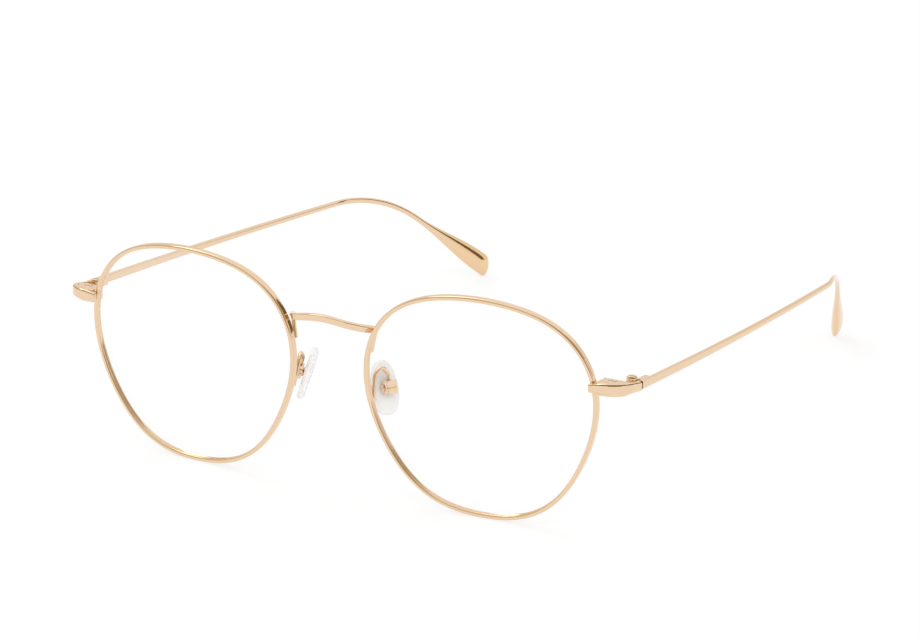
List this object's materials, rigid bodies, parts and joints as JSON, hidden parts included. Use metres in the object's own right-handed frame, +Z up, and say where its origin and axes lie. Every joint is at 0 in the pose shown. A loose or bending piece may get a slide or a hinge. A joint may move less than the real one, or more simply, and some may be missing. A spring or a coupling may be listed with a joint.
{
  "type": "eyeglasses",
  "caption": "Wire eyeglasses with round-topped grooved rims, clear lenses, a bowed bridge, rocking nose pads and folding temples with flattened, bent ends.",
  "frame": {"origin": "on the ground, at the middle of the box around the eyeglasses", "axes": "+X to the wearer's left, +Y back along the open temples, +Z up; the lenses face -Y"},
  "size_m": [0.1324, 0.1514, 0.0472],
  "materials": {
    "frame_gold": "polished pale rose gold plating on drawn wire and strip",
    "hinge_gold": "pressed hinge and pad metal with a duller pale gold plating",
    "screw_gold": "turned screws with a thin gold plating",
    "lens_clear": "clear coated lens plastic",
    "pad_silicone": "clear silicone with a satin skin"
  },
  "bodies": {
    "front": {"bridge": "frame_gold", "left_bridge_foot": "frame_gold", "left_rim": "frame_gold", "left_lens": "lens_clear", "left_lock_upper": "frame_gold", "left_lock_lower": "frame_gold", "left_lock_screw": "screw_gold", "left_end_piece": "frame_gold", "left_hinge_front": "hinge_gold", "left_hinge_screw": "screw_gold", "left_pad_arm": "frame_gold", "left_pad_box": "frame_gold", "left_pad_screw": "screw_gold", "right_bridge_foot": "frame_gold", "right_rim": "frame_gold", "right_lens": "lens_clear", "right_lock_upper": "frame_gold", "right_lock_lower": "frame_gold", "right_lock_screw": "screw_gold", "right_end_piece": "frame_gold", "right_hinge_front": "hinge_gold", "right_hinge_screw": "screw_gold", "right_pad_arm": "frame_gold", "right_pad_box": "frame_gold", "right_pad_screw": "screw_gold"},
    "left_temple": {"left_temple": "frame_gold", "left_hinge_temple": "hinge_gold"},
    "left_pad": {"left_nose_pad": "pad_silicone", "left_pad_core": "hinge_gold"},
    "right_temple": {"right_temple": "frame_gold", "right_hinge_temple": "hinge_gold"},
    "right_pad": {"right_nose_pad": "pad_silicone", "right_pad_core": "hinge_gold"}
  },
  "joints": [
    {"name": "left_temple_fold", "type": "hinge", "parent": "front", "child": "left_temple", "pos_m": [0.06375, -0.06195, 0.0314], "axis": [0, 0.0611, 0.9981], "range_deg": [0, 86]},
    {"name": "right_temple_fold", "type": "hinge", "parent": "front", "child": "right_temple", "pos_m": [-0.06375, -0.06195, 0.0314], "axis": [0, -0.0611, -0.9981], "range_deg": [0, 81]},
    {"name": "left_pad_rock", "type": "hinge", "parent": "front", "child": "left_pad", "pos_m": [0.01052, -0.06644, 0.02286], "axis": [0.4307, 0.902, -0.0305], "range_deg": [-8, 8]},
    {"name": "right_pad_rock", "type": "hinge", "parent": "front", "child": "right_pad", "pos_m": [-0.01052, -0.06644, 0.02286], "axis": [0.4307, -0.902, 0.0305], "range_deg": [-8, 8]}
  ]
}
